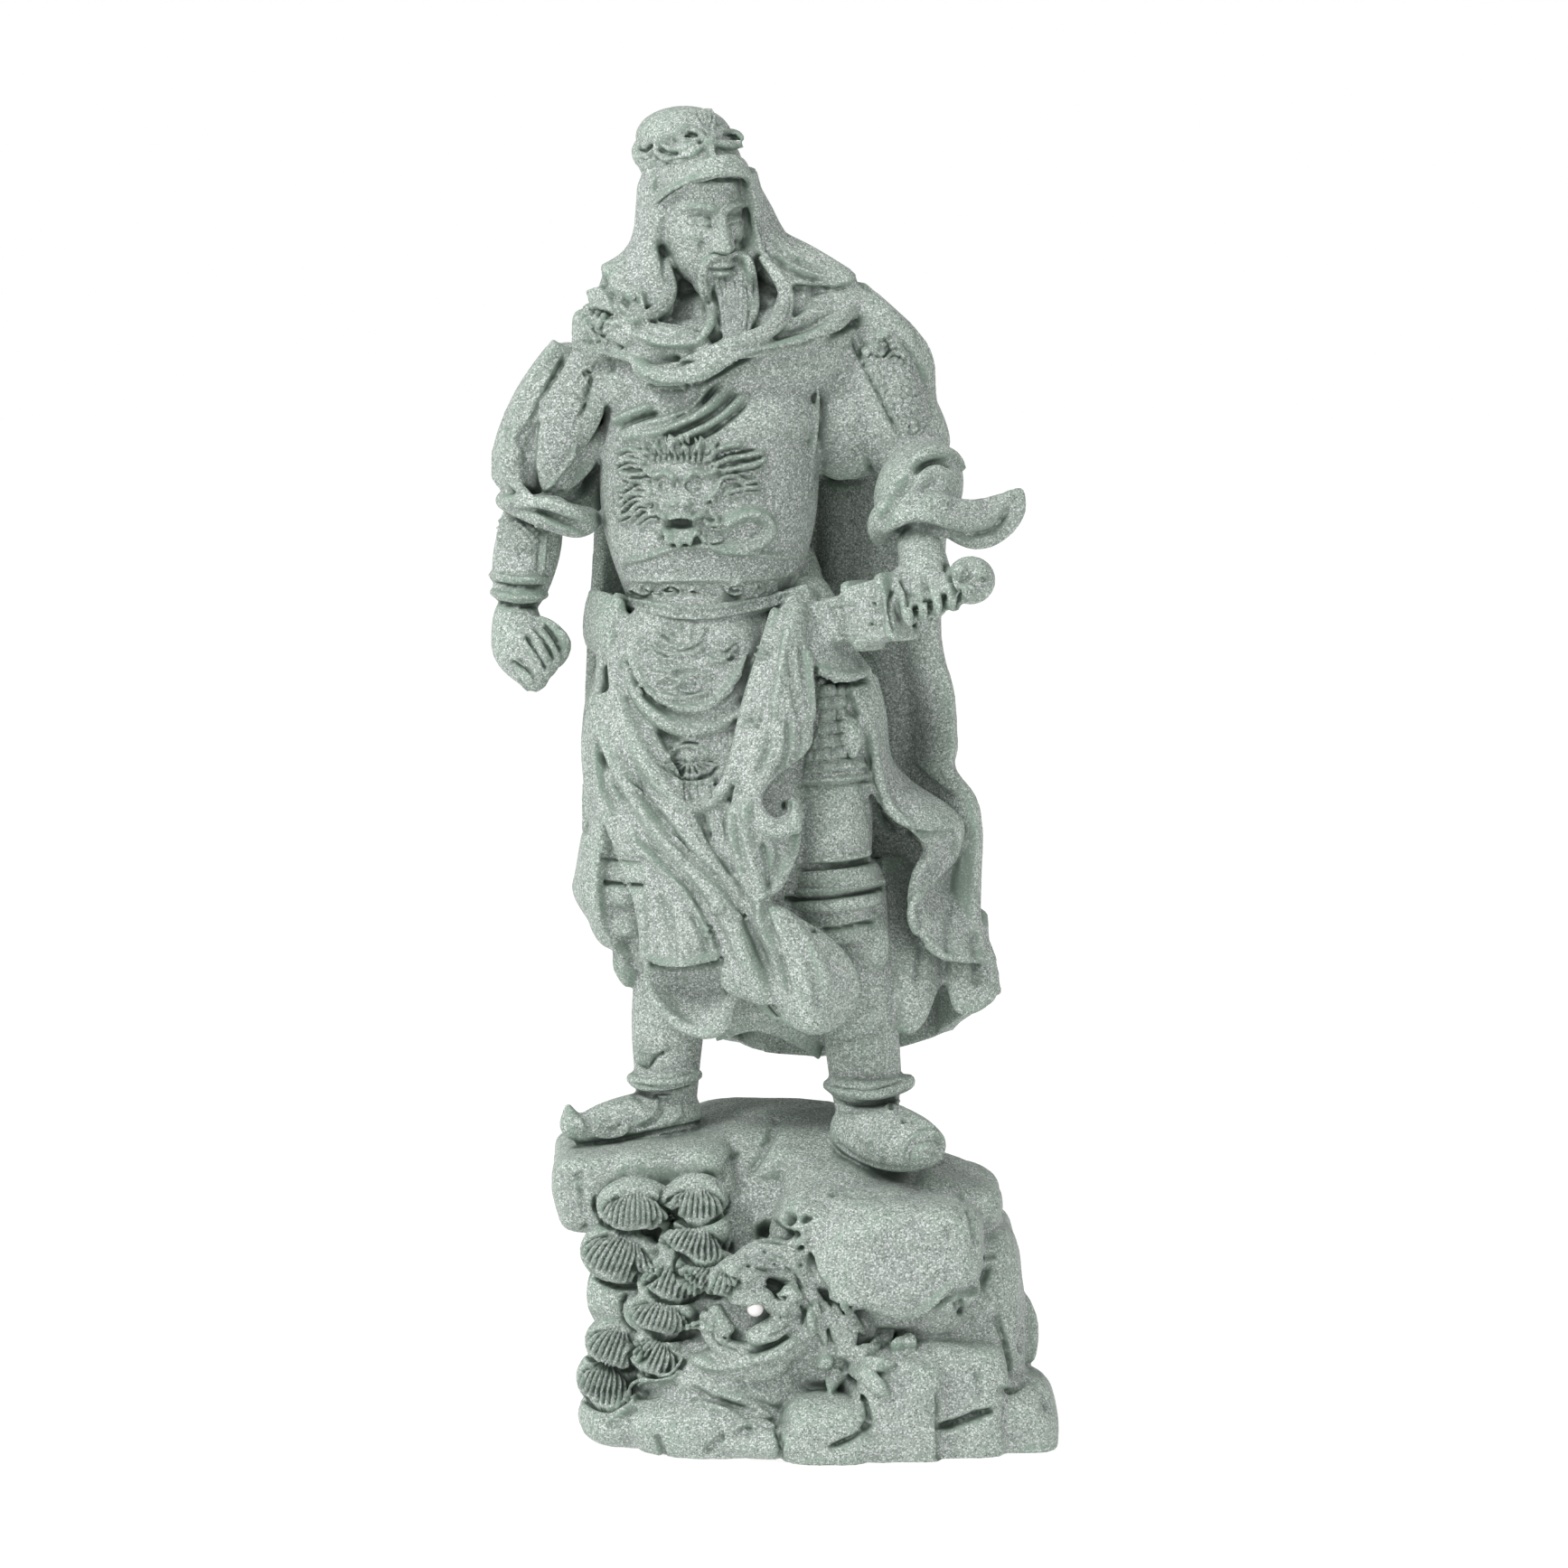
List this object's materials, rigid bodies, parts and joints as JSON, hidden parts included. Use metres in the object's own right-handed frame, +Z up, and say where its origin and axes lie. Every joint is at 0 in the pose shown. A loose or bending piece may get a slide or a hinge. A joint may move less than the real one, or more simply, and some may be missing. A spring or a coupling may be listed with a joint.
{
  "type": "bearded warrior statue on a rock base",
  "caption": "Cast green stone-resin figurine of a bearded warrior in cap, robe and cape, standing on a carved rock with a coiled dragon.",
  "frame": {"origin": "centre of the flat underside of the rock base", "axes": "+Z up, the figure faces -Y, +X towards the viewer's right"},
  "size_m": [0.1116, 0.0758, 0.2586],
  "materials": {
    "green_stone": "matte, gritty",
    "pearl_white": "satin"
  },
  "bodies": {
    "root": {"statue": "green_stone", "pearl": "pearl_white"}
  },
  "joints": []
}
